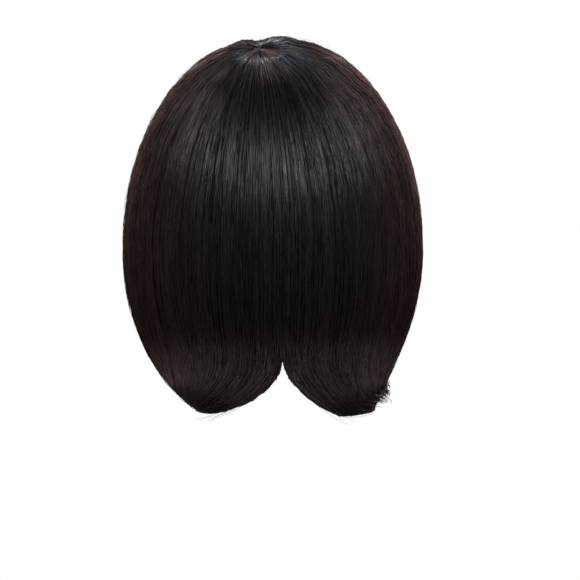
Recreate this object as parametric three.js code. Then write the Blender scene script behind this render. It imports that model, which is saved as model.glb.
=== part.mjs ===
// A short bob wig of straight hair in the shape it takes when worn, in millimetres.
// A close-fitting cap carries a fringe, two side curtains and two back lobes, which all fall from one
// whorl at the back of the crown. +Z is up and -Y is the face. The wearer's left is +X.
// The origin is the highest point inside the cap, where it sits on the top of the head.
// An azimuth runs round the head in degrees: 0 at the nape, 90 at the left ear, 180 at the face.
import * as THREE from "three";

// The cap fits a head of about 55 cm round.
const CAP_HALF_WIDTH = 77;
const CAP_HALF_LENGTH = 98;
const CAP_CROWN_HEIGHT = 100; // from the cap's widest level up to the origin
const CAP_NAPE_DEPTH = 95; // the depth in which it would close again below that level
const CAP_WALL = 1.5;

// The hair's outer form: how far it stands off the cap, and its levels.
const LIFT_SIDE = 22.5;
const LIFT_BACK = 18.5;
const LIFT_FRONT = 11;
const LIFT_TOP = 12.5;
const FULLNESS = 2.08; // power of the dome's curve: 2 is an ellipse, and more is fuller at the shoulders
const FULLEST_DROP = 31; // from the cap's widest level down to the hair's
const HAIR_DROP = 113; // from the hair's widest level down to its ends
const LEFT_ENDS_HIGHER = 4; // the left half is cut this much shorter
const SIDE_ENDS_HIGHER = 8; // and the sides are cut this much shorter than the nape
const BROW_DROP = 93; // from the origin down to the middle of the fringe's ends
const FRINGE_CORNER_DROP = 8; // and from there down to the fringe's corners

// The ends curl in to the neck: how far below its ends the hair would close, if it went on as it does.
const LEFT_CLOSES_BELOW = 14;
const RIGHT_CLOSES_BELOW = 17;
const NAPE_CLOSES_BELOW = 13;
const FACE_CLOSES_BELOW = 57;
const CHEEK_CLOSES_BELOW = 67;

// Thickness of the curtain of hair that hangs free below the cap, and of its ends.
const CURTAIN_THICKNESS = 14;
const CURTAIN_END = 8;
const FRINGE_END = 4;
const EASE_OFF_CAP = 22; // degrees below the cap's edge in which the hair leaves the head's form

// The whorl, and the parting over the nape, which both lie off the middle.
const WHORL_RADIUS = 6;
const WHORL_LEFT = 9;
const WHORL_BACK = 44;
const WHORL_DIMPLE = 2.5;
const WHORL_FOOT_RADIUS = 4.5;
const NAPE_PARTING = -5; // azimuth
const FACE_EDGE = 143; // azimuth of the edge of each side curtain beside the face
const SIDE_EDGE = 62; // azimuth at which a back lobe meets a side curtain

// How the hair's ends turn round the neck, in degrees. The turn is greatest at the nape parting, where a
// strand ends level, is gone at its reach from there, and goes back a little beside the face.
const NAPE_TURN = 82;
const NAPE_TURN_REACH = 110;
const FACE_TURN = -8;
const TURN_START = 0.41; // share of the fall that hangs straight first
const LEFT_TURN_POWER = 2; // of the rest of the fall, by which the turn grows
const RIGHT_TURN_POWER = 1.65;

// The outer corner of the right lobe, whose ends flick out and up again, by a power of the share of the fall.
const FLICK_OUT = 19;
const FLICK_UP = 3;
const FLICK_AZIMUTH = -86;
const FLICK_SPREAD = 24;
const FLICK_POWER = 5;

// Fit between the pieces.
const HAIR_TO_CAP = 0.6;
const PANEL_GAP = 0.5;

// Locks, the shallow rounded strips that the hair lies in.
const LOCK_RELIEF = 1.3;
const LOCK_END_LENGTH = 3;
const LOCK_COLUMNS = 4; // columns of faces in a lock
const RELIEF_GROWS_BY = 0.3; // share of a strand by which the grooves have their full depth

// Faces of the round pieces.
const CAP_ROWS = 10;
const CAP_SEGMENTS = 44;
const WHORL_SEGMENTS = 16;

// The cap's edge: how far down it reaches from the crown at each azimuth, as an angle at the head's centre.
const CAP_EDGE = [
  { azimuth: 0, reach: 128 },
  { azimuth: 42, reach: 121 },
  { azimuth: 68, reach: 104 },
  { azimuth: 88, reach: 89 },
  { azimuth: 106, reach: 98 },
  { azimuth: 130, reach: 78 },
  { azimuth: 156, reach: 69 },
  { azimuth: 180, reach: 67 },
];

// The panels of hair. Each runs from one azimuth to another in locks, with rows of faces along its strands.
// The long ones belong to the left side of the head (1) or to its right (-1).
const FULL_TURN = 360; // degrees
const PANELS = [
  { name: "fringe", side: 0, from: FULL_TURN - FACE_EDGE, to: FACE_EDGE, locks: 6, rows: 11 },
  { name: "side_hair_left", side: 1, from: FACE_EDGE, to: SIDE_EDGE, locks: 5, rows: 20 },
  { name: "back_hair_left", side: 1, from: SIDE_EDGE, to: NAPE_PARTING, locks: 6, rows: 20 },
  { name: "back_hair_right", side: -1, from: NAPE_PARTING, to: -SIDE_EDGE, locks: 6, rows: 20 },
  { name: "side_hair_right", side: -1, from: -SIDE_EDGE, to: -FACE_EDGE, locks: 5, rows: 20 },
];
const DOME_SHARE = 0.55; // of a strand's way, the part above the hair's widest level
const STRAND_STEP = 0.005; // share of a strand that shows which way it runs

// Values that follow from the sizes above.
const HEAD_CENTRE = new THREE.Vector3(0, 0, -CAP_CROWN_HEIGHT);
const HAIR_LEVEL = -CAP_CROWN_HEIGHT - FULLEST_DROP;
const HAIR_HALF_WIDTH = CAP_HALF_WIDTH + CAP_WALL + LIFT_SIDE;
const HAIR_HALF_LENGTH = CAP_HALF_LENGTH + CAP_WALL + (LIFT_BACK + LIFT_FRONT) / 2;
const HAIR_BACK_SHIFT = (LIFT_BACK - LIFT_FRONT) / 2;
const HAIR_CROWN_HEIGHT = CAP_WALL + LIFT_TOP - HAIR_LEVEL;
const WHORL = { x: WHORL_LEFT / HAIR_HALF_WIDTH, y: (WHORL_BACK - HAIR_BACK_SHIFT) / HAIR_HALF_LENGTH };

const { degToRad, radToDeg, lerp, smoothstep, clamp } = THREE.MathUtils;

// The cap's edge as a smooth curve, level where it crosses the middle at the nape and at the face.
const capEdge = new THREE.CubicInterpolant(
  CAP_EDGE.map((row) => row.azimuth),
  CAP_EDGE.map((row) => row.reach),
  1,
  [0],
);
capEdge.settings = { endingStart: THREE.ZeroSlopeEnding, endingEnd: THREE.ZeroSlopeEnding };

function capReach(azimuth) {
  return capEdge.evaluate(Math.abs(azimuth))[0];
}

// Unit direction from the head's centre, by azimuth and by angle down from the crown.
function direction(azimuth, polar) {
  const a = degToRad(azimuth);
  const p = degToRad(polar);
  return new THREE.Vector3(Math.sin(p) * Math.sin(a), Math.sin(p) * Math.cos(a), Math.cos(p));
}

// Distance from the head's centre to its ellipsoid, grown outwards by `out`, in the direction of `ray`.
function headDistance(ray, out) {
  const height = ray.z > 0 ? CAP_CROWN_HEIGHT : CAP_NAPE_DEPTH;
  const share = Math.hypot(
    ray.x / (CAP_HALF_WIDTH + out),
    ray.y / (CAP_HALF_LENGTH + out),
    ray.z / (height + out),
  );
  return ray.length() / share;
}

// Point of that ellipsoid.
function onHead(ray, out) {
  return ray.clone().setLength(headDistance(ray, out)).add(HEAD_CENTRE);
}

// The cap: a closed profile turned round the axis, then laid over the head between the crown and its edge.
function capGeometry() {
  const outer = Array.from({ length: CAP_ROWS + 1 }, (_, i) => new THREE.Vector2(i / CAP_ROWS, CAP_WALL));
  const inner = outer.map((p) => new THREE.Vector2(p.x, 0)).reverse();
  const geometry = new THREE.LatheGeometry([...outer, ...inner], CAP_SEGMENTS);
  const position = geometry.getAttribute("position");
  for (let i = 0; i < position.count; i += 1) {
    const x = position.getX(i);
    const z = position.getZ(i);
    const azimuth = radToDeg(Math.atan2(x, z));
    const polar = Math.hypot(x, z) * capReach(azimuth);
    const p = onHead(direction(azimuth, polar), position.getY(i));
    position.setXYZ(i, p.x, p.y, p.z);
  }
  return geometry;
}

// The vertical cut of the unit dome through the whorl and a strand's azimuth is a circle. This gives its
// middle and radius along the line from the whorl to the dome's edge, and the angle at which the strand starts.
function domeCut(azimuth) {
  const a = degToRad(azimuth);
  const dx = Math.sin(a) - WHORL.x;
  const dy = Math.cos(a) - WHORL.y;
  const run = Math.hypot(dx, dy);
  const middle = -(WHORL.x * dx + WHORL.y * dy) / run;
  const radius = run - middle;
  const collar = (WHORL_RADIUS * run) / Math.hypot(dx * HAIR_HALF_WIDTH, dy * HAIR_HALF_LENGTH);
  return { dx: dx / run, dy: dy / run, middle, radius, start: Math.asin((collar - middle) / radius) };
}

// Height of the fuller dome over a point where the round unit dome has the given height, and the reverse.
function fuller(height) {
  return (1 - (1 - height ** 2) ** (FULLNESS / 2)) ** (1 / FULLNESS);
}

function rounder(height) {
  return Math.sqrt(1 - (1 - height ** FULLNESS) ** (2 / FULLNESS));
}

// Point on the dome, the hair's form above its widest level. The strand runs from the whorl's collar
// (share 0) over its cut of the dome to the given level (share 1).
function domePoint(azimuth, share, level) {
  const cut = domeCut(azimuth);
  const end = Math.acos(clamp(rounder((level - HAIR_LEVEL) / HAIR_CROWN_HEIGHT) / cut.radius, -1, 1));
  const angle = lerp(cut.start, end, share);
  const run = cut.middle + cut.radius * Math.sin(angle);
  return new THREE.Vector3(
    (WHORL.x + cut.dx * run) * HAIR_HALF_WIDTH,
    (WHORL.y + cut.dy * run) * HAIR_HALF_LENGTH + HAIR_BACK_SHIFT,
    HAIR_LEVEL + HAIR_CROWN_HEIGHT * fuller(cut.radius * Math.cos(angle)),
  );
}

// Degrees that a strand has turned round the neck at a share of its fall.
function turnAt(side, azimuth, share) {
  const fromParting = Math.abs(azimuth - NAPE_PARTING);
  const toFace = clamp((fromParting - NAPE_TURN_REACH / 2) / (FACE_EDGE - NAPE_TURN_REACH / 2), 0, 1);
  const most = NAPE_TURN * Math.max(0, 1 - fromParting / NAPE_TURN_REACH) + FACE_TURN * toFace;
  const power = side > 0 ? LEFT_TURN_POWER : RIGHT_TURN_POWER;
  return side * most * clamp((share - TURN_START) / (1 - TURN_START), 0, 1) ** power;
}

// How far below its ends the hair would close at the side of the head that a panel belongs to.
function sideClosesBelow(side) {
  return side > 0 ? LEFT_CLOSES_BELOW : RIGHT_CLOSES_BELOW;
}

// Drop of a strand below the hair's widest level at a share of its fall: it follows a sine, which reaches its
// top, so that the strand ends level, beside the nape parting, and stops short of it further round.
function dropAt(side, azimuth, share) {
  const sideSwing = Math.asin(HAIR_DROP / (HAIR_DROP + sideClosesBelow(side)));
  const nearParting = Math.max(0, 1 - Math.abs(azimuth - NAPE_PARTING) / NAPE_TURN_REACH);
  const swing = lerp(sideSwing, Math.PI / 2, nearParting ** 2);
  const lowest = HAIR_DROP - (side > 0 ? LEFT_ENDS_HIGHER : 0) - SIDE_ENDS_HIGHER * (1 - nearParting);
  return (lowest * Math.sin(swing * share)) / Math.sin(swing);
}

// Share of its full width or length that the hair keeps at a drop below its widest level: a quarter ellipse.
function drawnIn(drop, closesBelow) {
  return Math.sqrt(1 - (drop / (HAIR_DROP + closesBelow)) ** 2);
}

// Point of the fall, the hair's form from its widest level (share 0) down to its ends (share 1).
function fallPoint(side, azimuth, share) {
  const drop = dropAt(side, azimuth, share);
  const turned = azimuth + turnAt(side, azimuth, share);
  const a = degToRad(turned);
  const forward = Math.max(0, -Math.cos(a));
  const closesBelow = lerp(sideClosesBelow(side), CHEEK_CLOSES_BELOW, forward ** 2);
  const width = HAIR_HALF_WIDTH * drawnIn(drop, closesBelow);
  const length = HAIR_HALF_LENGTH * drawnIn(drop, forward > 0 ? FACE_CLOSES_BELOW : NAPE_CLOSES_BELOW);
  const flick = Math.exp(-(((turned - FLICK_AZIMUTH) / FLICK_SPREAD) ** 2)) * share ** FLICK_POWER;
  return new THREE.Vector3(
    Math.sin(a) * (width + FLICK_OUT * flick),
    Math.cos(a) * (length + FLICK_OUT * flick) + HAIR_BACK_SHIFT,
    HAIR_LEVEL - drop + FLICK_UP * flick,
  );
}

// Point of a panel's smooth outer face: along runs from the strand's root (0) to its end (1), and a shorter
// strand follows the same path and ends that much sooner.
function outerPoint(panel, azimuth, along, shorter) {
  if (panel.side === 0) {
    const toCorner = Math.abs(azimuth - 180) / (180 - FACE_EDGE);
    return domePoint(azimuth, along, shorter - BROW_DROP - FRINGE_CORNER_DROP * toCorner ** 2);
  }
  if (along < DOME_SHARE) return domePoint(azimuth, along / DOME_SHARE, HAIR_LEVEL);
  const share = (along - DOME_SHARE) / (1 - DOME_SHARE);
  return fallPoint(panel.side, azimuth, share * (1 - shorter / HAIR_DROP));
}

// The same point on the inner face: on the cap above the cap's edge, and a curtain's thickness in below it.
function innerPoint(panel, outer, along) {
  const ray = outer.clone().sub(HEAD_CENTRE);
  const edge = capReach(radToDeg(Math.atan2(ray.x, ray.y)));
  const polar = radToDeg(Math.acos(ray.z / ray.length()));
  const onCap = headDistance(ray, CAP_WALL + HAIR_TO_CAP);
  const end = panel.side === 0 ? FRINGE_END : CURTAIN_END;
  const thickness = lerp(CURTAIN_THICKNESS, end, smoothstep(along, DOME_SHARE, 1));
  const hanging = Math.max(ray.length() - thickness, onCap);
  const reach = lerp(onCap, hanging, smoothstep(polar, edge, edge + EASE_OFF_CAP));
  return ray.setLength(reach).add(HEAD_CENTRE);
}

// A panel of hair: a box whose width runs across the strands and whose height runs along them, laid on the
// hair's form. Its outer face lies in locks with rounded ends, and its sides keep a gap to the next panel.
function panelGeometry(panel) {
  const columns = panel.locks * LOCK_COLUMNS;
  const geometry = new THREE.BoxGeometry(1, 1, 1, columns, panel.rows, 1);
  const position = geometry.getAttribute("position");
  for (let i = 0; i < position.count; i += 1) {
    const across = position.getX(i) + 0.5;
    const along = 0.5 - position.getY(i);
    const isOuter = position.getZ(i) > 0;
    const inLock = 2 * ((across * panel.locks) % 1) - 1;
    const groove = isOuter ? inLock ** 2 : 0;
    const azimuth = lerp(panel.from, panel.to, across);
    const shorter = LOCK_END_LENGTH * groove;
    const p = outerPoint(panel, azimuth, along, shorter);
    const strand = p.clone().sub(outerPoint(panel, azimuth, along - STRAND_STEP, shorter));
    const side = clamp(1 - across * columns, 0, 1) - clamp(1 - (1 - across) * columns, 0, 1);
    const inwards = HEAD_CENTRE.clone().sub(p).normalize();
    p.addScaledVector(strand.cross(inwards).normalize(), (side * PANEL_GAP) / 2);
    const point = isOuter
      ? p.addScaledVector(inwards, LOCK_RELIEF * groove * smoothstep(along, 0, RELIEF_GROWS_BY))
      : innerPoint(panel, p, along);
    position.setXYZ(i, point.x, point.y, point.z);
  }
  return geometry;
}

// The whorl: a plug of knotted hair with a dimple on top, standing on the cap inside the panels' collar.
function whorlGeometry() {
  const middle = domePoint(0, 0, HAIR_LEVEL).add(domePoint(180, 0, HAIR_LEVEL)).multiplyScalar(0.5);
  const ray = middle.clone().sub(HEAD_CENTRE);
  const foot = onHead(ray, CAP_WALL + HAIR_TO_CAP);
  const height = middle.distanceTo(foot);
  const radius = WHORL_RADIUS - 2 * PANEL_GAP;
  const profile = [
    new THREE.Vector2(0, 0),
    new THREE.Vector2(WHORL_FOOT_RADIUS, 0),
    new THREE.Vector2(radius, height),
    new THREE.Vector2(radius / 2, height - WHORL_DIMPLE / 2),
    new THREE.Vector2(0, height - WHORL_DIMPLE),
  ];
  const geometry = new THREE.LatheGeometry(profile, WHORL_SEGMENTS);
  const upright = new THREE.Quaternion().setFromUnitVectors(new THREE.Vector3(0, 1, 0), ray.normalize());
  return geometry.applyQuaternion(upright).translate(foot.x, foot.y, foot.z);
}

const hairBlack = new THREE.MeshStandardMaterial({ color: 0x1d1816, roughness: 0.42, metalness: 0 });
const capNet = new THREE.MeshStandardMaterial({ color: 0x141313, roughness: 0.9, metalness: 0 });

const wig = new THREE.Group();

function addPiece(name, geometry, material) {
  const mesh = new THREE.Mesh(geometry, material);
  mesh.name = name;
  wig.add(mesh);
}

addPiece("wig_cap", capGeometry(), capNet);
addPiece("crown_whorl", whorlGeometry(), hairBlack);
for (const panel of PANELS) addPiece(panel.name, panelGeometry(panel), hairBlack);

export default wig;
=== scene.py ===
"""A short bob wig of straight dark hair, built strand by strand over its CAD solids.

Every strand runs from the whorl at the back of the crown down one vertical cut of the hair's form. Near its
end it sweeps sideways and inwards. Azimuths run round the wig in degrees: 0 at the nape, 90 at its left side,
180 at the fringe. "Along" is a share of the way from the whorl (0) to the hair's ends (1). Lengths are in
metres.
"""

import math

import bpy
import numpy as np
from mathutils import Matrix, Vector


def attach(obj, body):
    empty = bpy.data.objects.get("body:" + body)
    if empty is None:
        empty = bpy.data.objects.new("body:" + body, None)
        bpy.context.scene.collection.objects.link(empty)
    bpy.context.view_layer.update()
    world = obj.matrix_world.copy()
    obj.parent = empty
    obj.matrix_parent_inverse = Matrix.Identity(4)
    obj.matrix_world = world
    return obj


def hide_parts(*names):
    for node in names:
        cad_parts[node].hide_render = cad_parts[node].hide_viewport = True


MM = 0.001

# The ellipsoid that the inside of the cap follows, the cap's wall, and its edge.
CAP_HALF_WIDTH = 77 * MM
CAP_HALF_LENGTH = 98 * MM
CAP_CROWN_HEIGHT = 100 * MM
CAP_NAPE_DEPTH = 95 * MM
CAP_WALL = 1.5 * MM
CAP_EDGE_AZIMUTHS = (0, 42, 68, 88, 106, 130, 156, 180)
CAP_EDGE_REACHES = (128, 121, 104, 89, 98, 78, 69, 67)  # degrees down from the crown
CAP_ROWS = 91
CAP_COLUMNS = 145
WEFT_ROWS = 16
THIN_WALL_OUT = 0.75  # share of the wall's thickness that the net reaches out to
THIN_WALL_IN = 0.3

# The hair's form: a dome down to its widest level, and below that a fall that draws in to the ends.
HAIR_LEVEL = -131 * MM
HAIR_HALF_WIDTH = 101 * MM
HAIR_HALF_LENGTH = 114.25 * MM
HAIR_BACK_SHIFT = 3.75 * MM
HAIR_CROWN_HEIGHT = 145 * MM
FULLNESS = 2.08  # power of the dome's curve: 2 is an ellipse
HAIR_DROP = 113 * MM
LEFT_ENDS_HIGHER = 4 * MM
SIDE_ENDS_HIGHER = 8 * MM
BROW_LEVEL = -93 * MM
FRINGE_CORNER_DROP = 8 * MM
SIDE_CLOSES_BELOW = {1: 14 * MM, 0: 17 * MM, -1: 17 * MM}  # by side: left, middle, right
NAPE_CLOSES_BELOW = 13 * MM
FACE_CLOSES_BELOW = 57 * MM
CHEEK_CLOSES_BELOW = 67 * MM
DOME_SHARE = 0.55  # along

# Thickness of the hanging curtain, and of its ends.
CURTAIN_THICKNESS = 14 * MM
CURTAIN_END = 8 * MM
FRINGE_END = 4 * MM
EASE_OFF_CAP = 22  # degrees

# The whorl, its dimple, and the shallow dip that runs forward from it.
WHORL_RADIUS = 6 * MM
WHORL_LEFT = 9 * MM
WHORL_BACK = 44 * MM
WHORL_DIMPLE = 1.0 * MM
DIMPLE_REACH = 3 * MM
FORWARD_DIP = 2.4 * MM
FORWARD_DIP_REACH = 8 * MM
WHORL_HAIRS = 120
WHORL_CURVATURE = 0.16  # metres, twice the radius of the crown under the whorl
KNOT_SEGMENTS = 24
KNOT_TONE = 0.2
KNOT_WARMTH = 0.1
KNOT_RADII = np.array((0.0, 3.0, 6.2, 6.2, 4.4, 0.0)) * MM  # from the top of the knot to its foot
KNOT_HEIGHTS = np.array((-4.6, -4.0, -3.4, -6.0, -13.0, -13.2)) * MM

# Azimuths of the parting at the nape and of the panels' edges.
NAPE_PARTING = -5
FACE_EDGE = 143
SIDE_EDGE = 62

# How far the strands turn sideways in their fall, in degrees, and how the right lobe's corner flicks out.
NAPE_TURN = 82
NAPE_TURN_REACH = 110
FACE_TURN = -8
TURN_START = 0.41
LEFT_TURN_POWER = 2
RIGHT_TURN_POWER = 1.65
FLICK_OUT = 19 * MM
FLICK_UP = 3 * MM
FLICK_AZIMUTH = -86
FLICK_SPREAD = 24
FLICK_POWER = 5

# The panels: the side (1 left, 0 middle, -1 right), the span of azimuths, and the number of strands on the
# surface and in the ends.
PANELS = {
    "fringe": {"side": 0, "span": (FACE_EDGE, 360 - FACE_EDGE), "surface": 1500, "ends": 300},
    "side_hair_left": {"side": 1, "span": (SIDE_EDGE, FACE_EDGE), "surface": 1900, "ends": 650},
    "back_hair_left": {"side": 1, "span": (NAPE_PARTING, SIDE_EDGE), "surface": 2000, "ends": 900},
    "back_hair_right": {"side": -1, "span": (-SIDE_EDGE, NAPE_PARTING), "surface": 2000, "ends": 900},
    "side_hair_right": {"side": -1, "span": (-FACE_EDGE, -SIDE_EDGE), "surface": 1900, "ends": 650},
}

# Strands. Each stands for a few hairs that lie together.
STRAND_HALF_WIDTH = 0.27 * MM
STRAND_HALF_THICKNESS = 0.27 * MM
RING_SHARES = (0, 0.08, 0.17, 0.27, 0.37, 0.46, 0.55, 0.63, 0.71, 0.79, 0.87, 0.94, 1)
END_RING_SHARES = (0, 0.25, 0.45, 0.65, 0.82, 1)
SURFACE_DEPTH = 1.6 * MM  # the layer that surface strands lie in
PANEL_OVERLAP = 0.4  # degrees
START_INNER_SHARE = 0.22  # of the strands that start inside the whorl's collar
COLLAR_STARTS = (0.4, 3.4)  # millimetres from the whorl's middle
FIRST_START = 0.03  # along
START_RANGE = 0.43
SHORTER_SURFACE = 0.035  # along
SHORTER_ENDS = 0.05
SHORTEST_STRAND = 0.25
END_STARTS = (0.74, 0.84)
WIDTH_SPREAD = (0.7, 1.2)
END_WIDTH_SPREAD = (1.2, 2.2)
# The ends' strands are lighter by this tone: painted light on the lobes.
END_PAINTED_LIGHT_TONE = 0.15
STRAY = 0.12
FAR_STRAY = 0.8
FAR_STRAY_SHARE = 0.04
END_STRAY = 0.3
WARM_AND_SHEEN_FADE_IN = (0.02, 0.2)  # along; the reddish colour, partly painted sheen, fades in from the whorl

# The base: the closed mass of hair below the strands.
BASE_DEPTH = 2.4 * MM  # from the hair's surface
BASE_START = 0.004  # along
BASE_END = 0.93
BASE_SHRINK = 0.02  # share of the way from the base's inner surface to its outer one
BASE_GRID = 61
BASE_INSET = 0.15  # degrees

# The left lobe's rounded corner, where strands are cut shorter, as a share of their way.
LEFT_CORNER_CUT = 0.045
LEFT_CORNER_AZIMUTH = 75
LEFT_CORNER_SPREAD = 28

# Ripples of the locks and of single strands, in and out of the surface.
STRAND_LENGTH = 300 * MM
LOCK_RIPPLE = 0.25 * MM
LOCK_RIPPLE_LENGTH = 60 * MM
STRAND_RIPPLE = 0.25 * MM
STRAND_RIPPLE_LENGTH = 62 * MM

# Locks, which strands gather in: wide ones, most marked at the whorl, narrow ones, most marked at the ends,
# and fine ones, which differ in tone. Widths are in degrees, and seeds give each lock its own values.
WIDE_LOCK = 4.5  # degrees
WIDE_LOCK_SEED = 3
WIDE_LOCK_GROOVE = 0.3 * MM
NARROW_LOCK = 1.9
NARROW_LOCK_SEED = 5
NARROW_LOCK_GROOVE = 0.5 * MM
FINE_LOCK = 0.55
FINE_LOCK_SEED = 7
FINE_LOCK_VALUES = 700  # a little more than there are fine locks
FINE_LOCK_DEPTH = 0.9 * MM
FINE_LOCK_GATHER = 0.7
GATHER_AT_WHORL = 0.25
GATHER_AT_ENDS = 0.35
DRIFT = 0.22  # degrees that a fine lock wanders sideways
DRIFT_SEED = 11
LIFT_SEED = 17
TONE_SEED = 23
LOCK_JITTER = 0.3  # share of a lock's width by which its edges are moved
STRAY_GAIN = 8  # degrees of sideways wandering for each unit of stray over the whole way
EMERGE_DEPTH = 1.8 * MM  # that a strand starts below the surface
EMERGE_REACH = 0.10  # along
COLLAR_DEPTH = 0.2 * MM

# Gloss of matt and of glossy strands, as the specular level, and the tone below which a strand is matt.
GLOSSES = {"matt": 0.25, "glossy": 0.72}
MATT_BELOW = 0.2
GOLDEN_SHARE = 0.618  # its multiples set neighbouring locks well apart in tone

# Streaks of the deep hair, by its UV map.
STREAKS_ACROSS = 18
STREAKS_ALONG = 6

# Colours of the strands, by tone, of the reddish ones, and of the deep hair, which is darkened as painted
# shade between the locks.
DARK_STRAND = (0.0012, 0.0011, 0.0011)
LIGHT_STRAND = (0.018, 0.0155, 0.0145)
# The reddish colour is partly the hair's own and partly painted sheen, where side light glows through the
# strands.
WARM_STRAND_AND_SHEEN = (0.055, 0.024, 0.021)
# The deep hair is darker than any strand: painted shade in the gaps between the locks.
DARK_DEPTH_PAINTED_SHADE = (0.0005, 0.0004, 0.0004)
LIGHT_DEPTH_PAINTED_SHADE = (0.012, 0.010, 0.009)
CAP_COLOUR = (0.012, 0.011, 0.011, 1)

# The reddish outer layer on the right side, whose strands end higher up; its red is partly painted sheen.
LAYER_AZIMUTH = -94
LAYER_REACH = 14
LAYER_PART = 0.35
LAYER_END = 0.715  # along
LAYER_END_SPREAD = 0.09
LAYER_WARMTH_AND_SHEEN = (0.1, 0.9)
LAYER_THICKNESS = 1.3 * MM

WHORL_X = WHORL_LEFT / HAIR_HALF_WIDTH
WHORL_Y = (WHORL_BACK - HAIR_BACK_SHIFT) / HAIR_HALF_LENGTH
CAP_CENTRE = np.array((0, 0, -CAP_CROWN_HEIGHT))

# Loose hairs for each side, hairs along the nape's edges, thin reddish strands lightened as painted
# highlights, and
# the frayed corner: how many, and the ranges that their values are drawn from. Starts, ends and reaches are
# along, azimuths and distances from the parting are degrees, depth and warmth are shares, and the rest is in
# millimetres.
LOOSE_HAIRS = {1: 90, -1: 110}
LOOSE = {"start": (0, 0.85), "reach": (0.06, 0.22), "lift": (0.3, 2.6), "half_width": (0.05, 0.10)}
LOOSE_MARGIN = 8  # degrees from the curtains' front edges
LOOSE_DRIFT = 2.2
NAPE_HAIRS = {1: 9, -1: 8}
NAPE = {"from_parting": (0, 6), "start": (0.76, 0.84), "end": (0.90, 1.0), "fall": (0.5, 8.0),
        "half_width": (0.08, 0.12)}
# Thin strands at the lightest tone stand in for highlight arcs: painted highlights.
PAINTED_HIGHLIGHT_STRANDS = 150
PAINTED_HIGHLIGHT = {"from_parting": (3, 100), "start": (0.25, 0.7), "end": (0.96, 0.995), "half_width": (0.12, 0.22),
         "warm_and_sheen": (0.3, 1)}
PAINTED_HIGHLIGHT_LIFT = 0.6 * MM
TUFT_STRANDS = 200
TUFT = {"azimuth": (-100, -30), "start": (0.72, 0.8), "end": (0.97, 1.0), "depth": (0, 0.5), "out": (3, 11),
        "up": (-1, 7), "half_width": (0.12, 0.24)}

STRAND_SEED = 20
rng = np.random.default_rng(STRAND_SEED)


# Small helpers on arrays.
def lerp(a, b, t):
    return a + (b - a) * t


def smooth(x, low, high):
    """Smooth step from 0 at low to 1 at high."""
    t = np.clip((x - low) / (high - low), 0, 1)
    return t * t * (3 - 2 * t)


def unit(v):
    return v / np.maximum(np.linalg.norm(v, axis=-1, keepdims=True), 1e-9)


def drawn(ranges, key, count):
    """Random values from the named range."""
    return rng.uniform(*ranges[key], count)


def stack(x, y, z):
    return np.stack(np.broadcast_arrays(x, y, z), axis=-1)


# The hair's form.
def fuller(height):
    """Height of the fuller dome over a point where the round unit dome has the given height."""
    return (1 - (1 - np.clip(height, 0, 1) ** 2) ** (FULLNESS / 2)) ** (1 / FULLNESS)


def rounder(height):
    """The reverse of fuller."""
    return np.sqrt(1 - (1 - np.clip(height, 0, 1) ** FULLNESS) ** (2 / FULLNESS))


def dome_point(azimuth, share, level):
    """The vertical cut of the unit dome through the whorl and the azimuth is a circle. The point lies on it,
    at a share of the angle from the whorl's collar down to the level."""
    a = np.radians(azimuth)
    dx = np.sin(a) - WHORL_X
    dy = np.cos(a) - WHORL_Y
    run = np.hypot(dx, dy)
    middle = -(WHORL_X * dx + WHORL_Y * dy) / run
    radius = run - middle
    collar = WHORL_RADIUS * run / np.hypot(dx * HAIR_HALF_WIDTH, dy * HAIR_HALF_LENGTH)
    start = np.arcsin((collar - middle) / radius)
    end = np.arccos(np.clip(rounder((level - HAIR_LEVEL) / HAIR_CROWN_HEIGHT) / radius, -1, 1))
    angle = lerp(start, end, share)
    out = middle + radius * np.sin(angle)
    return stack(
        (WHORL_X + dx / run * out) * HAIR_HALF_WIDTH,
        (WHORL_Y + dy / run * out) * HAIR_HALF_LENGTH + HAIR_BACK_SHIFT,
        HAIR_LEVEL + HAIR_CROWN_HEIGHT * fuller(radius * np.cos(angle)),
    )


def turn_at(side, azimuth, share):
    """Degrees that a strand has turned sideways at a share of its fall: a power of the share past its start,
    most at the nape parting and a little the other way at the curtains' front edges."""
    from_parting = np.abs(azimuth - NAPE_PARTING)
    half_reach = NAPE_TURN_REACH / 2
    to_face = np.clip((from_parting - half_reach) / (FACE_EDGE - half_reach), 0, 1)
    most = NAPE_TURN * np.clip(1 - from_parting / NAPE_TURN_REACH, 0, 1) + FACE_TURN * to_face
    power = LEFT_TURN_POWER if side > 0 else RIGHT_TURN_POWER
    return side * most * np.clip((share - TURN_START) / (1 - TURN_START), 0, 1) ** power


def drop_at(side, azimuth, share):
    """Drop below the widest level: a sine, which reaches its top beside the nape parting and stops short of
    it further round."""
    side_swing = math.asin(HAIR_DROP / (HAIR_DROP + SIDE_CLOSES_BELOW[side]))
    near_parting = np.clip(1 - np.abs(azimuth - NAPE_PARTING) / NAPE_TURN_REACH, 0, 1)
    swing = lerp(side_swing, math.pi / 2, near_parting**2)
    lowest = HAIR_DROP - LEFT_ENDS_HIGHER * (side > 0) - SIDE_ENDS_HIGHER * (1 - near_parting)
    return lowest * np.sin(swing * share) / np.sin(swing)


def drawn_in(drop, closes_below):
    """Share of the full width or length that is kept at a drop: a quarter ellipse."""
    return np.sqrt(np.clip(1 - (drop / (HAIR_DROP + closes_below)) ** 2, 0.002, 1))


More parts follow.
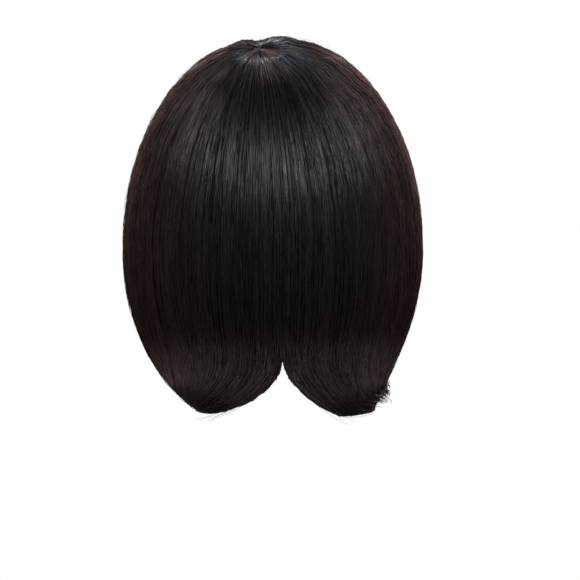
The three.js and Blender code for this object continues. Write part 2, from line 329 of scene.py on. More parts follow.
def fall_point(side, azimuth, share):
    """Point of the fall, from the widest level (share 0) down to the ends (share 1)."""
    drop = drop_at(side, azimuth, share)
    turned = azimuth + turn_at(side, azimuth, share)
    a = np.radians(turned)
    forward = np.clip(-np.cos(a), 0, 1)
    width = HAIR_HALF_WIDTH * drawn_in(drop, lerp(SIDE_CLOSES_BELOW[side], CHEEK_CLOSES_BELOW, forward**2))
    length = HAIR_HALF_LENGTH * drawn_in(drop, np.where(forward > 0, FACE_CLOSES_BELOW, NAPE_CLOSES_BELOW))
    flick = np.exp(-(((turned - FLICK_AZIMUTH) / FLICK_SPREAD) ** 2)) * share**FLICK_POWER
    return stack(
        np.sin(a) * (width + FLICK_OUT * flick),
        np.cos(a) * (length + FLICK_OUT * flick) + HAIR_BACK_SHIFT,
        HAIR_LEVEL - drop + FLICK_UP * flick,
    )


def outer_point(side, azimuth, along):
    """Point of the hair's outer surface."""
    azimuth, along = np.broadcast_arrays(np.asarray(azimuth, float), np.asarray(along, float))
    if side == 0:
        to_corner = np.abs(azimuth - 180) / (180 - FACE_EDGE)
        return dome_point(azimuth, along, BROW_LEVEL - FRINGE_CORNER_DROP * to_corner**2)
    dome = dome_point(azimuth, np.clip(along / DOME_SHARE, -1, 1), HAIR_LEVEL)
    fall = fall_point(side, azimuth, np.clip((along - DOME_SHARE) / (1 - DOME_SHARE), 0, 1.1))
    return np.where((along < DOME_SHARE)[..., None], dome, fall)


def cap_distance(ray, out):
    """Distance along a ray from the cap's centre to the ellipsoid of its inside, grown by out."""
    height = np.where(ray[..., 2] > 0, CAP_CROWN_HEIGHT, CAP_NAPE_DEPTH)
    share = np.sqrt(
        (ray[..., 0] / (CAP_HALF_WIDTH + out)) ** 2
        + (ray[..., 1] / (CAP_HALF_LENGTH + out)) ** 2
        + (ray[..., 2] / (height + out)) ** 2
    )
    return np.linalg.norm(ray, axis=-1) / share


def cap_reach(azimuth):
    """How far down the cap reaches at an azimuth, in degrees from the crown."""
    table = np.radians(CAP_EDGE_AZIMUTHS)
    return np.interp(np.abs(np.radians(azimuth)), table, CAP_EDGE_REACHES)


def settled(points):
    """Points of the hair sunk into the dimple at the whorl and into the shallow dip that runs forward.
    Each is a bell curve of the distance."""
    x = points[..., 0] - WHORL_LEFT
    y = points[..., 1] - WHORL_BACK
    dimple = WHORL_DIMPLE * np.exp(-(x**2 + y**2) / DIMPLE_REACH**2)
    forward = smooth(-y, -6 * MM, 12 * MM) * (1 - smooth(-y, 60 * MM, 95 * MM))
    dip = FORWARD_DIP * np.exp(-((x / FORWARD_DIP_REACH) ** 2)) * forward
    above = points[..., 2] > HAIR_LEVEL
    return points - np.where(above, dimple + dip, 0)[..., None] * np.array((0, 0, 1))


def inner_point(side, outer, along):
    """Point under an outer one: on the cap, and below the cap's edge a curtain's thickness in."""
    ray = outer - CAP_CENTRE
    length = np.linalg.norm(ray, axis=-1)
    edge = cap_reach(np.degrees(np.arctan2(ray[..., 0], ray[..., 1])))
    polar = np.degrees(np.arccos(ray[..., 2] / length))
    on_cap = cap_distance(ray, CAP_WALL)
    end = FRINGE_END if side == 0 else CURTAIN_END
    thickness = lerp(CURTAIN_THICKNESS, end, smooth(along, DOME_SHARE, 1))
    hanging = np.maximum(length - thickness, on_cap)
    reach = lerp(on_cap, hanging, smooth(polar, edge, edge + EASE_OFF_CAP))
    return CAP_CENTRE + ray * (reach / length)[..., None]


def outward(side, azimuth, along):
    """Unit normal of the outer surface, from two steps on it."""
    step = 0.4
    across = outer_point(side, azimuth + step, along) - outer_point(side, azimuth - step, along)
    down = outer_point(side, azimuth, along + 0.005) - outer_point(side, azimuth, along - 0.005)
    normal = unit(np.cross(across, down))
    away = np.sum(normal * (outer_point(side, azimuth, along) - CAP_CENTRE), axis=-1, keepdims=True)
    return normal * np.where(away < 0, -1, 1)


# Meshes.
def make_object(name, points, quads, triangles, material, uv=None, values=None):
    """A smooth mesh from arrays of points, quads and triangles, with a UV map and named point values."""
    mesh = bpy.data.meshes.new(name)
    corners = np.concatenate((np.ravel(quads), np.ravel(triangles))).astype(np.int32)
    starts = np.concatenate((
        np.arange(len(quads)) * 4,
        len(quads) * 4 + np.arange(len(triangles)) * 3,
    )).astype(np.int32)
    mesh.vertices.add(len(points))
    mesh.vertices.foreach_set("co", np.ravel(points).astype(np.float32))
    mesh.loops.add(len(corners))
    mesh.loops.foreach_set("vertex_index", corners)
    mesh.polygons.add(len(starts))
    mesh.polygons.foreach_set("loop_start", starts)
    mesh.update(calc_edges=True)
    mesh.polygons.foreach_set("use_smooth", np.ones(len(starts), bool))
    if uv is not None:
        layer = mesh.uv_layers.new(name="strand_uv")
        layer.data.foreach_set("uv", np.ravel(uv[corners]).astype(np.float32))
    for key, value in (values or {}).items():
        attribute = mesh.attributes.new(key, "FLOAT", "POINT")
        attribute.data.foreach_set("value", np.ravel(value).astype(np.float32))
    mesh.materials.append(material)
    obj = bpy.data.objects.new(name, mesh)
    bpy.context.scene.collection.objects.link(obj)
    return obj


def tube_mesh(paths, normals, half_width, half_thickness, tone, warm_and_sheen):
    """Closed three-sided strands along paths (strand, ring, xyz), flattened against the surface and narrowed
    at both ends. Returns points, quads, triangles, UV and values."""
    strands, rings = paths.shape[:2]
    tangent = unit(np.gradient(paths, axis=1))
    across = unit(np.cross(normals, tangent))
    above = np.cross(tangent, across)
    taper = np.ones(rings)
    taper[0] = 0.3
    taper[-1] = 0.25
    taper[-2] = 0.8
    wide = np.asarray(half_width)[:, None] * taper
    high = np.asarray(half_thickness)[:, None] * taper
    left = paths + across * wide[..., None]
    ridge = paths + above * high[..., None]
    right = paths - across * wide[..., None]
    points = np.stack((left, ridge, right), axis=2).reshape(-1, 3)

    index = np.arange(strands * rings * 3).reshape(strands, rings, 3)
    here = index[:, :-1]
    below = index[:, 1:]
    quads = np.stack((here, np.roll(here, -1, 2), np.roll(below, -1, 2), below), axis=-1).reshape(-1, 4)
    caps = np.concatenate((index[:, 0, ::-1], index[:, -1]))
    length = np.cumsum(np.linalg.norm(np.diff(paths, axis=1, prepend=paths[:, :1]), axis=-1), axis=1)
    uv = np.stack(np.broadcast_arrays(
        (np.arange(strands) * 0.37)[:, None, None] + np.array((0, 0.5, 1)) * 0.05,
        length[..., None],
    ), axis=-1).reshape(-1, 2)
    values = {
        "tone": np.broadcast_to(np.asarray(tone)[:, None, None], index.shape),
        "warm_and_sheen": np.broadcast_to(warm_and_sheen.reshape(strands, -1)[..., None], index.shape),
    }
    return points, quads, caps, uv, values


def by_gloss(paths, normals, half_width, half_thickness, tone, warm_and_sheen):
    """Two tube meshes, of the matt strands and of the glossy ones."""
    per_strand = (paths, normals, half_width, half_thickness, tone, warm_and_sheen)
    matt = tone < MATT_BELOW
    return {
        "matt": tube_mesh(*(values[matt] for values in per_strand)),
        "glossy": tube_mesh(*(values[~matt] for values in per_strand)),
    }


def join_meshes(meshes):
    """Several results of tube_mesh as one."""
    offsets = np.cumsum([0] + [len(m[0]) for m in meshes[:-1]])
    points = np.concatenate([m[0] for m in meshes])
    quads = np.concatenate([m[1] + o for m, o in zip(meshes, offsets)])
    triangles = np.concatenate([m[2] + o for m, o in zip(meshes, offsets)])
    uv = np.concatenate([m[3] for m in meshes])
    keys = meshes[0][4]
    values = {key: np.concatenate([np.ravel(m[4][key]) for m in meshes]) for key in keys}
    return points, quads, triangles, uv, values


def hair_arrays(meshes, material):
    """Several results of tube_mesh as the arrays that make_object takes after the name."""
    points, quads, triangles, uv, values = join_meshes(meshes)
    return points, quads, triangles, material, uv, values


# Locks.
def lock_noise(seed, count, low, high):
    """A fixed random value for each lock, so that panels agree where they meet."""
    return np.random.default_rng(seed).uniform(low, high, count)


def lock_pattern(azimuth, width, seed):
    """Centre of the lock that an azimuth lies in, and its share of the way from there to the lock's edge."""
    count = int(round(360 / width))
    edges = (np.arange(count) + lock_noise(seed, count, -LOCK_JITTER, LOCK_JITTER)) * width
    place = np.mod(azimuth, 360)
    number = np.mod(np.searchsorted(edges, place) - 1, count)
    start = edges[number]
    stop = edges[(number + 1) % count]
    stop = np.where(stop < start, stop + 360, stop)
    place = np.where(place < start, place + 360, place)
    centre = (start + stop) / 2
    offset = (place - centre) / ((stop - start) / 2)
    return azimuth + (centre - place), offset, number


def strand_paths(side, azimuth, start, end, shares, depth, stray):
    """Centre lines of strands and the surface normals at their rings. A strand lies at a share of the hair's
    depth, gathers to its locks' centres, and wanders a little sideways."""
    along = lerp(start[:, None], end[:, None], np.asarray(shares)[None, :])
    _, wide_offset, _ = lock_pattern(azimuth, WIDE_LOCK, WIDE_LOCK_SEED)
    narrow_centre, narrow_offset, _ = lock_pattern(azimuth, NARROW_LOCK, NARROW_LOCK_SEED)
    fine_centre, _, fine_number = lock_pattern(azimuth, FINE_LOCK, FINE_LOCK_SEED)
    near_whorl = 1 - smooth(along, 0.1, 0.5)
    near_end = smooth(along, 0.75, 1)
    gather = GATHER_AT_WHORL * near_whorl + GATHER_AT_ENDS * near_end
    path_azimuth = azimuth[:, None] + (narrow_centre - azimuth)[:, None] * gather
    path_azimuth = path_azimuth + (fine_centre - azimuth)[:, None] * FINE_LOCK_GATHER
    drift = lock_noise(DRIFT_SEED, FINE_LOCK_VALUES, -1, 1)[fine_number]
    path_azimuth = path_azimuth + (drift * DRIFT)[:, None] * np.sin(along * 5 + drift[:, None] * 9)
    path_azimuth = path_azimuth + stray[:, None] * (along - start[:, None]) * STRAY_GAIN
    if side == 0:
        path_azimuth = np.clip(path_azimuth, FACE_EDGE, 360 - FACE_EDGE)
    elif side > 0:
        path_azimuth = np.clip(path_azimuth, NAPE_PARTING, FACE_EDGE)
    else:
        path_azimuth = np.clip(path_azimuth, -FACE_EDGE, NAPE_PARTING)
    outer = outer_point(side, path_azimuth, along)
    normal = outward(side, path_azimuth, np.clip(along, 0.006, 1))
    inner = inner_point(side, outer, along)
    groove = WIDE_LOCK_GROOVE * (wide_offset**2)[:, None] * lerp(0.35, 1, near_whorl)
    groove = groove + NARROW_LOCK_GROOVE * (narrow_offset**2)[:, None] * lerp(0.5, 1, near_end)
    lift = lock_noise(LIFT_SEED, FINE_LOCK_VALUES, 0, FINE_LOCK_DEPTH)[fine_number]
    emerge = 1 - smooth(along - start[:, None], 0, EMERGE_REACH)
    sunk = groove + lift[:, None] + np.where(start > 0, EMERGE_DEPTH, COLLAR_DEPTH)[:, None] * emerge
    phase = rng.uniform(0, 2 * math.pi, len(azimuth))
    length = along * STRAND_LENGTH
    ripple = LOCK_RIPPLE * np.sin(length * 2 * math.pi / LOCK_RIPPLE_LENGTH + drift[:, None] * 40)
    ripple = ripple + STRAND_RIPPLE * np.sin(length * 2 * math.pi / STRAND_RIPPLE_LENGTH + phase[:, None])
    sunk = sunk + ripple * smooth(along, 0, 0.15)
    paths = settled(outer + (inner - outer) * depth - normal * sunk[..., None])
    return paths, normal


def surface_strands(panel):
    """The long strands of a panel's surface layer, by gloss. Some start inside the whorl's collar, and those
    of the right side's outer layer end higher up."""
    side = panel["side"]
    low, high = panel["span"]
    count = panel["surface"]
    azimuth = rng.uniform(low - PANEL_OVERLAP, high + PANEL_OVERLAP, count)
    speed = np.linalg.norm(outer_point(side, azimuth, 0.01) - outer_point(side, azimuth, 0), axis=-1) / 0.01
    inside_collar = -(WHORL_RADIUS - lerp(*COLLAR_STARTS, rng.random(count)) * MM) / speed
    inner_start = rng.random(count) < START_INNER_SHARE
    start = np.where(inner_start, inside_collar, FIRST_START + START_RANGE * rng.random(count) ** 0.9)
    end = 1 - SHORTER_SURFACE * rng.random(count) ** 1.5 - cut_corner(side, azimuth)
    middle = outer_point(side, azimuth, 0.5)
    gap = np.linalg.norm(middle - inner_point(side, middle, np.full(count, 0.5)), axis=-1)
    level = rng.random(count)
    depth = SURFACE_DEPTH * level / gap
    part = LAYER_PART * np.exp(-(((azimuth - LAYER_AZIMUTH) / LAYER_REACH) ** 2))
    layered = rng.random(count) < part
    end = np.where(layered, LAYER_END + LAYER_END_SPREAD * rng.random(count) ** 1.5, end)
    start = np.minimum(start, end - SHORTEST_STRAND)
    depth = np.where(layered, -LAYER_THICKNESS / gap * level, depth)[:, None, None]
    stray = rng.normal(0, STRAY, count)
    stray = stray + np.where(rng.random(count) < FAR_STRAY_SHARE, rng.normal(0, FAR_STRAY, count), 0)
    paths, normal = strand_paths(side, azimuth, start, end, RING_SHARES, depth, stray)
    width = STRAND_HALF_WIDTH * rng.uniform(*WIDTH_SPREAD, count) * lerp(0.85, 1.25, level)
    height = STRAND_HALF_THICKNESS * rng.uniform(*WIDTH_SPREAD, count)
    # Reddish strands, more often at the sides and in the right side's layer: partly painted sheen.
    warm_and_sheen = np.where(layered, rng.uniform(*LAYER_WARMTH_AND_SHEEN, count), warmth_and_side_sheen(azimuth))
    along = lerp(start[:, None], end[:, None], np.asarray(RING_SHARES)[None, :])
    warm_and_sheen = warm_and_sheen[:, None] * smooth(along, *WARM_AND_SHEEN_FADE_IN)
    return by_gloss(paths, normal, width, height, strand_tone(azimuth, 1 - level), warm_and_sheen)


def end_strands(panel):
    """Short strands that fill the depth of a panel's ends, by gloss."""
    side = panel["side"]
    low, high = panel["span"]
    count = panel["ends"]
    azimuth = rng.uniform(low, high, count)
    start = rng.uniform(*END_STARTS, count)
    end = 1 - SHORTER_ENDS * rng.random(count) - cut_corner(side, azimuth)
    depth = rng.uniform(0.05, 1, count)[:, None, None]
    stray = rng.normal(0, END_STRAY, count)
    paths, normal = strand_paths(side, azimuth, start, end, END_RING_SHARES, depth, stray)
    width = STRAND_HALF_WIDTH * rng.uniform(*END_WIDTH_SPREAD, count)
    # The ends are lighter: painted light on the lobes.
    tone = np.clip(strand_tone(azimuth, rng.random(count)) + END_PAINTED_LIGHT_TONE, 0, 1)
    return by_gloss(paths, normal, width, width * 0.8, tone, warmth_and_side_sheen(azimuth))


def cut_corner(side, azimuth):
    """Share of a strand by which the left lobe's outer corner is cut shorter, so that it is round."""
    near_corner = np.exp(-(((azimuth - LEFT_CORNER_AZIMUTH) / LEFT_CORNER_SPREAD) ** 2))
    return LEFT_CORNER_CUT * near_corner * (side > 0)


def strand_tone(azimuth, height):
    """How light and glossy a strand is, from its fine lock, its own share, and how high it lies: deeper is
    darker, as painted shade.
    """
    number = lock_pattern(azimuth, FINE_LOCK, FINE_LOCK_SEED)[2]
    spread = lock_noise(TONE_SEED, FINE_LOCK_VALUES, 0, 0.3)[number]
    of_lock = 0.8 * np.mod(number * GOLDEN_SHARE + spread, 1) ** 2
    # Painted shade: the deeper a strand lies, the less of its own lightness it gets.
    own = 0.8 * rng.random(len(azimuth)) ** 4 * height
    return np.clip(of_lock + own, 0, 1)


def warmth_and_side_sheen(azimuth):
    """How reddish a strand is: seldom at the back, often at the sides, where the red is partly painted sheen
    of side light.
    """
    to_side = smooth(np.abs(np.sin(np.radians(azimuth))), 0.5, 0.95)
    return np.clip(rng.random(len(azimuth)) ** 2 * lerp(0.12, 1, to_side), 0, 1)


def grid_quads(rows, columns):
    """Quads between the points of a grid, numbered row by row."""
    index = np.arange(rows * columns).reshape(rows, columns)
    return np.stack((index[:-1, :-1], index[1:, :-1], index[1:, 1:], index[:-1, 1:]), axis=-1).reshape(-1, 4)


def closed_shell(outer, inner):
    """A closed body between two grids (row along, column across) that face each other."""
    rows, columns = outer.shape[:2]
    count = rows * columns
    front = grid_quads(rows, columns)
    back = front[:, ::-1] + count
    index = np.arange(count).reshape(rows, columns)
    ring = np.concatenate((index[0, :-1], index[:-1, -1], index[-1, :0:-1], index[:0:-1, 0]))
    after = np.roll(ring, -1)
    rim = np.stack((ring, after, after + count, ring + count), axis=-1)
    points = np.concatenate((outer.reshape(-1, 3), inner.reshape(-1, 3)))
    return points, np.concatenate((front, back, rim))


def panel_base(name, panel, material):
    """The hair below the surface strands: a closed shell between a sunken outer surface and the cap."""
    side = panel["side"]
    low, high = panel["span"]
    along = np.linspace(BASE_START, BASE_END, BASE_GRID)[:, None]
    azimuth = np.linspace(high - BASE_INSET, low + BASE_INSET, BASE_GRID)[None, :]
    azimuth, along = np.broadcast_arrays(azimuth, along)
    outer = outer_point(side, azimuth, along)
    normal = outward(side, azimuth, np.clip(along, 0.006, 1))
    inner = inner_point(side, outer, along)
    sunken = outer - normal * BASE_DEPTH
    points, quads = closed_shell(settled(sunken), lerp(inner, sunken, BASE_SHRINK))
    uv = np.stack((azimuth * 0.2, along * 0.3), axis=-1).reshape(-1, 2)
    uv = np.concatenate((uv, uv))
    return make_object(name + "_base", points, quads, np.zeros((0, 3), int), material, uv)


def loose_hairs(side, count):
    """Thin single hairs that stand off the surface: each follows it, and its free end drifts aside and out by
    powers of the share of its length."""
    edge = FACE_EDGE - LOOSE_MARGIN
    low, high = (NAPE_PARTING, edge) if side > 0 else (-edge, NAPE_PARTING)
    azimuth = rng.uniform(low, high, count)[:, None]
    start = drawn(LOOSE, "start", count)[:, None]
    reach = drawn(LOOSE, "reach", count)[:, None]
    shares = np.linspace(0, 1, 9)[None, :]
    along = np.minimum(start + reach * shares, 1)
    path_azimuth = np.clip(azimuth + rng.normal(0, LOOSE_DRIFT, count)[:, None] * shares**2, low, high)
    normal = outward(side, path_azimuth, along)
    lift = drawn(LOOSE, "lift", count)[:, None] * MM * shares**1.5 * np.sin(shares * 2.4 + 0.3)
    lift = lift - 0.6 * MM * (1 - shares)
    paths = settled(outer_point(side, path_azimuth, along)) + normal * lift[..., None]
    width = drawn(LOOSE, "half_width", count) * MM
    return tube_mesh(paths, normal, width, width, rng.random(count), rng.random(count))


def painted_highlight_strands(side, count):
    """Thin reddish strands that lie on the surface and run down to the ends, at the lightest tone: painted
    highlights.
    """
    azimuth = NAPE_PARTING + side * drawn(PAINTED_HIGHLIGHT, "from_parting", count)
    start = drawn(PAINTED_HIGHLIGHT, "start", count)
    end = drawn(PAINTED_HIGHLIGHT, "end", count) - cut_corner(side, azimuth)
    depth = np.zeros((count, 1, 1))
    paths, normal = strand_paths(side, azimuth, start, end, RING_SHARES, depth, rng.normal(0, 0.2, count))
    width = drawn(PAINTED_HIGHLIGHT, "half_width", count) * MM
    paths = paths + normal * (PAINTED_HIGHLIGHT_LIFT * smooth(np.asarray(RING_SHARES), 0, 0.2))[:, None]
    to_side = smooth(np.abs(azimuth - NAPE_PARTING), 15, 70)
    warm_and_sheen = drawn(PAINTED_HIGHLIGHT, "warm_and_sheen", count) * lerp(0.35, 1, to_side)
    # Tone 1, the lightest: painted highlight.
    return tube_mesh(paths, normal, width, width, np.ones(count), warm_and_sheen)


def nape_hairs(side, count):
    """Thin hairs that hang below the notch's edges: each leaves the edge by a power of its share."""
    azimuth = NAPE_PARTING + side * drawn(NAPE, "from_parting", count)[:, None]
    shares = np.linspace(0, 1, 13)[None, :]
    start = drawn(NAPE, "start", count)[:, None]
    along = start + (drawn(NAPE, "end", count)[:, None] - start) * shares
    normal = outward(side, azimuth, along)
    fall = drawn(NAPE, "fall", count)[:, None] * MM * shares**1.6
    paths = outer_point(side, azimuth, along) + normal * (fall - 0.8 * MM)[..., None]
    width = drawn(NAPE, "half_width", count) * MM
    return tube_mesh(paths, normal, width, width, rng.random(count) * 0.1, rng.random(count) * 0.4)


def tuft(count):
    """The frayed corner of the right lobe, whose strands turn out and up at their tips."""
    azimuth = drawn(TUFT, "azimuth", count)
    start = drawn(TUFT, "start", count)
    end = drawn(TUFT, "end", count)
    depth = drawn(TUFT, "depth", count)[:, None, None]
    shares = np.array((0, 0.2, 0.4, 0.55, 0.7, 0.8, 0.9, 1.0))
    paths, normal = strand_paths(-1, azimuth, start, end, shares, depth, rng.normal(0, 0.4, count))
    tip = smooth(shares, 0.45, 1)[None, :] ** 1.5
    out = drawn(TUFT, "out", count)[:, None] * MM * tip
    up = drawn(TUFT, "up", count)[:, None] * MM * tip
    paths = paths + stack(-out, 0.3 * out, up)
    width = drawn(TUFT, "half_width", count) * MM
    return tube_mesh(paths, normal, width, width, rng.random(count), rng.random(count) * 0.4)


def whorl_hair(material):
    """The whorl: short strands that turn out of a point as a spiral over a small closed knot."""
    middle = (dome_point(0, 0, HAIR_LEVEL) + dome_point(180, 0, HAIR_LEVEL)) / 2
    up = unit(middle - CAP_CENTRE)
    side_axis = unit(np.cross(up, (0, 1, 0)))
    other = np.cross(up, side_axis)
    strands = whorl_strands(middle, up, side_axis, other)
    knot = whorl_knot(middle, up, side_axis, other)
    return make_object("crown_whorl_hair", *hair_arrays([strands, knot], material))


def whorl_strands(middle, up, side_axis, other):
    """Short strands: the radius grows evenly while the angle turns, and the height falls as a parabola."""
    count = WHORL_HAIRS
    shares = np.linspace(0, 1, 8)[None, :]
    angle = rng.uniform(0, 2 * math.pi, count)[:, None] + shares * rng.uniform(0.3, 0.9, count)[:, None]
    reach = (rng.uniform(2, 5, count) * MM)[:, None]
    radius = lerp(0.3 * MM, reach, shares**1.1)
    height = -radius**2 / WHORL_CURVATURE - WHORL_DIMPLE * np.exp(-((radius / DIMPLE_REACH) ** 2))
    height = height + rng.uniform(-2.2, -1.0, count)[:, None] * MM - 1.2 * MM * smooth(shares, 0.7, 1)
    paths = middle + (
        side_axis * (radius * np.cos(angle))[..., None]
        + other * (radius * np.sin(angle))[..., None]
        + up * height[..., None]
    )
    normals = np.broadcast_to(up, paths.shape)
    width = STRAND_HALF_WIDTH * rng.uniform(0.4, 0.8, count)
    return tube_mesh(paths, normals, width, width * 0.8, rng.random(count) ** 2, np.zeros(count))


def whorl_knot(middle, up, side_axis, other):
    """A closed knot, which is its profile turned round the whorl's axis."""
    turn = np.linspace(0, 2 * math.pi, KNOT_SEGMENTS + 1)[:-1]
    rings = middle + (
        side_axis * (KNOT_RADII[1:-1, None] * np.cos(turn))[..., None]
        + other * (KNOT_RADII[1:-1, None] * np.sin(turn))[..., None]
        + up * KNOT_HEIGHTS[1:-1, None, None]
    )
    poles = [middle + up * KNOT_HEIGHTS[0], middle + up * KNOT_HEIGHTS[-1]]
    points = np.concatenate((rings.reshape(-1, 3), poles))
    ring_points = rings.shape[0] * KNOT_SEGMENTS
    index = np.arange(ring_points).reshape(-1, KNOT_SEGMENTS)
    after = np.roll(index, -1, 1)
    quads = np.stack((index[:-1], index[1:], after[1:], after[:-1]), axis=-1).reshape(-1, 4)
    top = np.stack((index[0], after[0], np.full(KNOT_SEGMENTS, ring_points)), axis=-1)
    foot = np.stack((after[-1], index[-1], np.full(KNOT_SEGMENTS, ring_points + 1)), axis=-1)
    values = {"tone": np.full(len(points), KNOT_TONE), "warm_and_sheen": np.full(len(points), KNOT_WARMTH)}
    return points, quads, np.concatenate((top, foot)), np.zeros((len(points), 2)), values


def cap_shell(material):
    """The cap: a thin net with rows of weft, whose ribs run round it, and a thicker hem at its edge."""
    share = np.linspace(0, 1, CAP_ROWS)[:, None]
    azimuth = np.linspace(-180, 180, CAP_COLUMNS)[None, :-1]
    share, azimuth = np.broadcast_arrays(share, azimuth)
    reach = cap_reach(azimuth)
    a = np.radians(azimuth)
    p = np.radians(np.maximum(share, 0.004) * reach)
    ray = stack(np.sin(p) * np.sin(a), np.sin(p) * np.cos(a), np.cos(p))
    hem = smooth(share, 0.955, 0.985)
    weft = np.clip(np.sin(share * 2 * math.pi * WEFT_ROWS), 0, 1) ** 2
    thick = np.maximum(weft, hem)
    outer = CAP_CENTRE + ray * cap_distance(ray, CAP_WALL * lerp(THIN_WALL_OUT, 1, thick))[..., None]
    inner = CAP_CENTRE + ray * cap_distance(ray, CAP_WALL * lerp(THIN_WALL_IN, 0, thick))[..., None]
    turns = CAP_COLUMNS - 1
    wrapped = np.arange(CAP_ROWS * turns).reshape(CAP_ROWS, turns)
    after = np.roll(wrapped, -1, 1)
    front = np.stack((wrapped[:-1], wrapped[1:], after[1:], after[:-1]), axis=-1).reshape(-1, 4)
    count = wrapped.size
    rim = np.stack((wrapped[-1], wrapped[-1] + count, after[-1] + count, after[-1]), axis=-1)
    crown = 2 * count
    outer_pole = np.stack((wrapped[0], after[0], np.full(turns, crown)), axis=-1)
    inner_pole = np.stack((after[0] + count, wrapped[0] + count, np.full(turns, crown + 1)), axis=-1)
    poles = [outer[0].mean(0), inner[0].mean(0)]
    points = np.concatenate((outer.reshape(-1, 3), inner.reshape(-1, 3), poles))
    uv = np.stack((azimuth / 30, share * 8), axis=-1).reshape(-1, 2)
    uv = np.concatenate((uv, uv, [[0, 0]], [[0, 0]]))
    quads = np.concatenate((front, front[:, ::-1] + count, rim))
    triangles = np.concatenate((outer_pole, inner_pole))
    return make_object("wig_cap_net", points, quads, triangles, material, uv)


# Materials.
def new_material(name):
    material = bpy.data.materials.new(name)
    material.use_nodes = True
    nodes = material.node_tree.nodes
    return material, nodes, material.node_tree.links, nodes["Principled BSDF"]


def mixed_colour(nodes, links, factor, first, second):
    """A colour mixed from two by a factor output. Either may be a colour or an output."""
    mix = nodes.new("ShaderNodeMix")
    mix.data_type = "RGBA"
    links.new(factor, mix.inputs["Factor"])
    for socket, colour in ((mix.inputs[6], first), (mix.inputs[7], second)):
        if isinstance(colour, tuple):
            socket.default_value = (*colour, 1)
        else:
            links.new(colour, socket)
    return mix.outputs[2]


def attribute_value(nodes, name):
    attribute = nodes.new("ShaderNodeAttribute")
    attribute.attribute_name = name
    return attribute.outputs["Fac"]


def hair_material(gloss):
    """Dark hair: its colour differs a little from strand to strand, and some strands are reddish, partly as
    painted sheen at the sides.
    """
    material, nodes, links, shader = new_material(gloss + "_dark_hair")
    by_tone = mixed_colour(nodes, links, attribute_value(nodes, "tone"), DARK_STRAND, LIGHT_STRAND)
    colour = mixed_colour(nodes, links, attribute_value(nodes, "warm_and_sheen"), by_tone, WARM_STRAND_AND_SHEEN)
    links.new(colour, shader.inputs["Base Color"])
    roughness = nodes.new("ShaderNodeMapRange")
    roughness.inputs["To Min"].default_value = 0.45
    roughness.inputs["To Max"].default_value = 0.2
    links.new(attribute_value(nodes, "tone"), roughness.inputs["Value"])
    links.new(roughness.outputs["Result"], shader.inputs["Roughness"])
    shader.inputs["IOR"].default_value = 1.5
    shader.inputs["Specular IOR Level"].default_value = GLOSSES[gloss]
    return material


def painted_shade_mass_material():
    """The hair deep between the locks: dark hair, made darker than the strands as painted shade, with thin
    streaks along the strands.
    """
    material, nodes, links, shader = new_material("deep_hair_painted_shade")
    place = nodes.new("ShaderNodeUVMap")
    place.uv_map = "strand_uv"
    stretch = nodes.new("ShaderNodeMapping")
    stretch.inputs["Scale"].default_value = (STREAKS_ACROSS, STREAKS_ALONG, 1)
    streaks = nodes.new("ShaderNodeTexNoise")
    streaks.inputs["Scale"].default_value = 1
    links.new(place.outputs["UV"], stretch.inputs["Vector"])
    links.new(stretch.outputs["Vector"], streaks.inputs["Vector"])
    colour = mixed_colour(nodes, links, streaks.outputs["Fac"], DARK_DEPTH_PAINTED_SHADE, LIGHT_DEPTH_PAINTED_SHADE)
    links.new(colour, shader.inputs["Base Color"])
    shader.inputs["Roughness"].default_value = 0.7
    shader.inputs["Specular IOR Level"].default_value = 0.12
    return material


def cap_material():
    """Matt black stretch net."""
    material, _, _, shader = new_material("cap_net")
    shader.inputs["Base Color"].default_value = CAP_COLOUR
    shader.inputs["Roughness"].default_value = 0.92
    shader.inputs["Specular IOR Level"].default_value = 0.2
    return material


# The camera and the lights.
CAMERA_TARGET = Vector((-11.9 * MM, 0, -158.4 * MM))
CAMERA_DISTANCE = 1.6
CAMERA_ELEVATION = 4
CAMERA_LENS = 146  # millimetres
CAMERA_FILM = 36
LIGHT_TARGET = Vector((0, 0, -0.11))
LIGHT_COLUMNS = ("azimuth", "elevation", "distance", "size", "power", "colour")
LIGHTS = {
    "key": (180, 36, 2.0, (2.0, 0.75), 24.5, (1, 0.98, 0.95)),
    "key_left": (112, 34, 2.0, (1.2, 0.45), 2, (1, 0.92, 0.88)),
    "key_right": (248, 34, 2.0, (1.2, 0.45), 2.5, (1, 0.92, 0.88)),
    "crown": (0, 57, 1.6, (0.3, 0.4), 12, (0.80, 0.85, 1)),
    "left": (50, 28, 1.8, (0.45, 1.9), 16, (1, 0.66, 0.62)),
    "right": (311, 30, 1.8, (0.45, 1.9), 20, (1, 0.64, 0.60)),
    "front": (180, 5, 2.4, (2.0, 2.0), 2.5, (1, 1, 1)),
    "bounce": (180, -86, 1.2, (1.2, 1.6), 6, (1, 0.78, 0.74)),
}


def away_at(azimuth, elevation):
    """Unit vector from the object towards a place seen at an azimuth and elevation."""
    a = math.radians(azimuth)
    e = math.radians(elevation)
    return Vector((math.sin(a) * math.cos(e), -math.cos(a) * math.cos(e), math.sin(e)))


def add_camera():
    camera = bpy.data.objects.new("camera", bpy.data.cameras.new("camera"))
    bpy.context.scene.collection.objects.link(camera)
    back = away_at(180, CAMERA_ELEVATION)
    camera.location = CAMERA_TARGET + back * CAMERA_DISTANCE
    camera.rotation_mode = "QUATERNION"
    camera.rotation_quaternion = (-back).to_track_quat("-Z", "Y")
    camera.data.lens = CAMERA_LENS
    camera.data.sensor_width = CAMERA_FILM
    bpy.context.scene.camera = camera


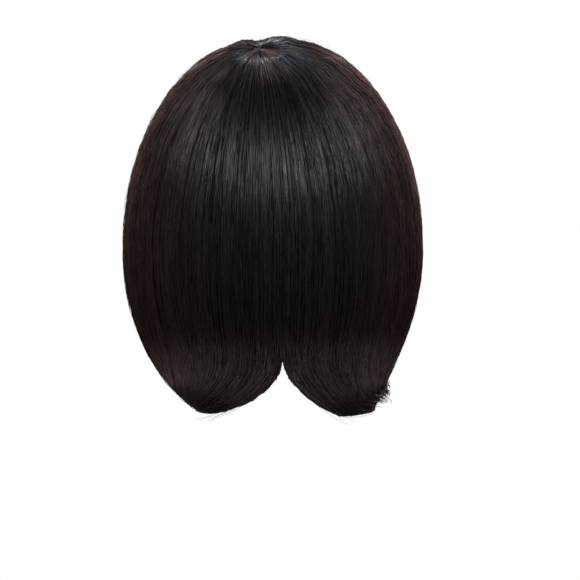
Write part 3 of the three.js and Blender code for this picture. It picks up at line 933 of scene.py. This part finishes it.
def add_lights():
    for name, values in LIGHTS.items():
        row = dict(zip(LIGHT_COLUMNS, values))
        data = bpy.data.lights.new(name, "AREA")
        data.shape = "RECTANGLE"
        data.size, data.size_y = row["size"]
        data.energy = row["power"]
        data.color = row["colour"]
        lamp = bpy.data.objects.new(name, data)
        back = away_at(row["azimuth"], row["elevation"])
        lamp.location = LIGHT_TARGET + back * row["distance"]
        lamp.rotation_mode = "QUATERNION"
        lamp.rotation_quaternion = (-back).to_track_quat("-Z", "Y")
        bpy.context.scene.collection.objects.link(lamp)


def set_world():
    """White to the eye, and a dim grey as a light."""
    world = bpy.data.worlds.new("studio")
    world.use_nodes = True
    nodes = world.node_tree.nodes
    links = world.node_tree.links
    ambient = nodes["Background"]
    ambient.inputs["Color"].default_value = (0.9, 0.9, 1, 1)
    ambient.inputs["Strength"].default_value = 0.05
    backdrop = nodes.new("ShaderNodeBackground")
    backdrop.inputs["Color"].default_value = (1, 1, 1, 1)
    path = nodes.new("ShaderNodeLightPath")
    mix = nodes.new("ShaderNodeMixShader")
    links.new(path.outputs["Is Camera Ray"], mix.inputs[0])
    links.new(ambient.outputs[0], mix.inputs[1])
    links.new(backdrop.outputs[0], mix.inputs[2])
    links.new(mix.outputs[0], nodes["World Output"].inputs["Surface"])
    bpy.context.scene.world = world
    bpy.context.scene.view_settings.view_transform = "Standard"


def put_on(obj, node):
    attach(obj, "root")
    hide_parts(node)


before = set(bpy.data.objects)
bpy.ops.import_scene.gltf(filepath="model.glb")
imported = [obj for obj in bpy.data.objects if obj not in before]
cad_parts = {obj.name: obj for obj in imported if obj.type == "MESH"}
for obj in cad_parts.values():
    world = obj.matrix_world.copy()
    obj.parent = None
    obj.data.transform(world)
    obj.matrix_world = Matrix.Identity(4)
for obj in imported:
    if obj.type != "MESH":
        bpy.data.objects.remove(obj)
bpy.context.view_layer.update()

hair = {gloss: hair_material(gloss) for gloss in GLOSSES}
painted_shade_mass = painted_shade_mass_material()
for name, panel in PANELS.items():
    put_on(panel_base(name, panel, painted_shade_mass), name)
    surface = surface_strands(panel)
    ends = end_strands(panel)
    strands = {gloss: [surface[gloss], ends[gloss]] for gloss in GLOSSES}
    if name.startswith("back_hair"):
        side = panel["side"]
        strands["glossy"] += [
            loose_hairs(side, LOOSE_HAIRS[side]),
            nape_hairs(side, NAPE_HAIRS[side]),
            painted_highlight_strands(side, PAINTED_HIGHLIGHT_STRANDS),
        ]
    if name == "back_hair_right":
        strands["glossy"] += [tuft(TUFT_STRANDS)]
    for gloss, meshes in strands.items():
        put_on(make_object(name + "_" + gloss + "_strands", *hair_arrays(meshes, hair[gloss])), name)
put_on(whorl_hair(hair["glossy"]), "crown_whorl")
put_on(cap_shell(cap_material()), "wig_cap")

add_camera()
add_lights()
set_world()
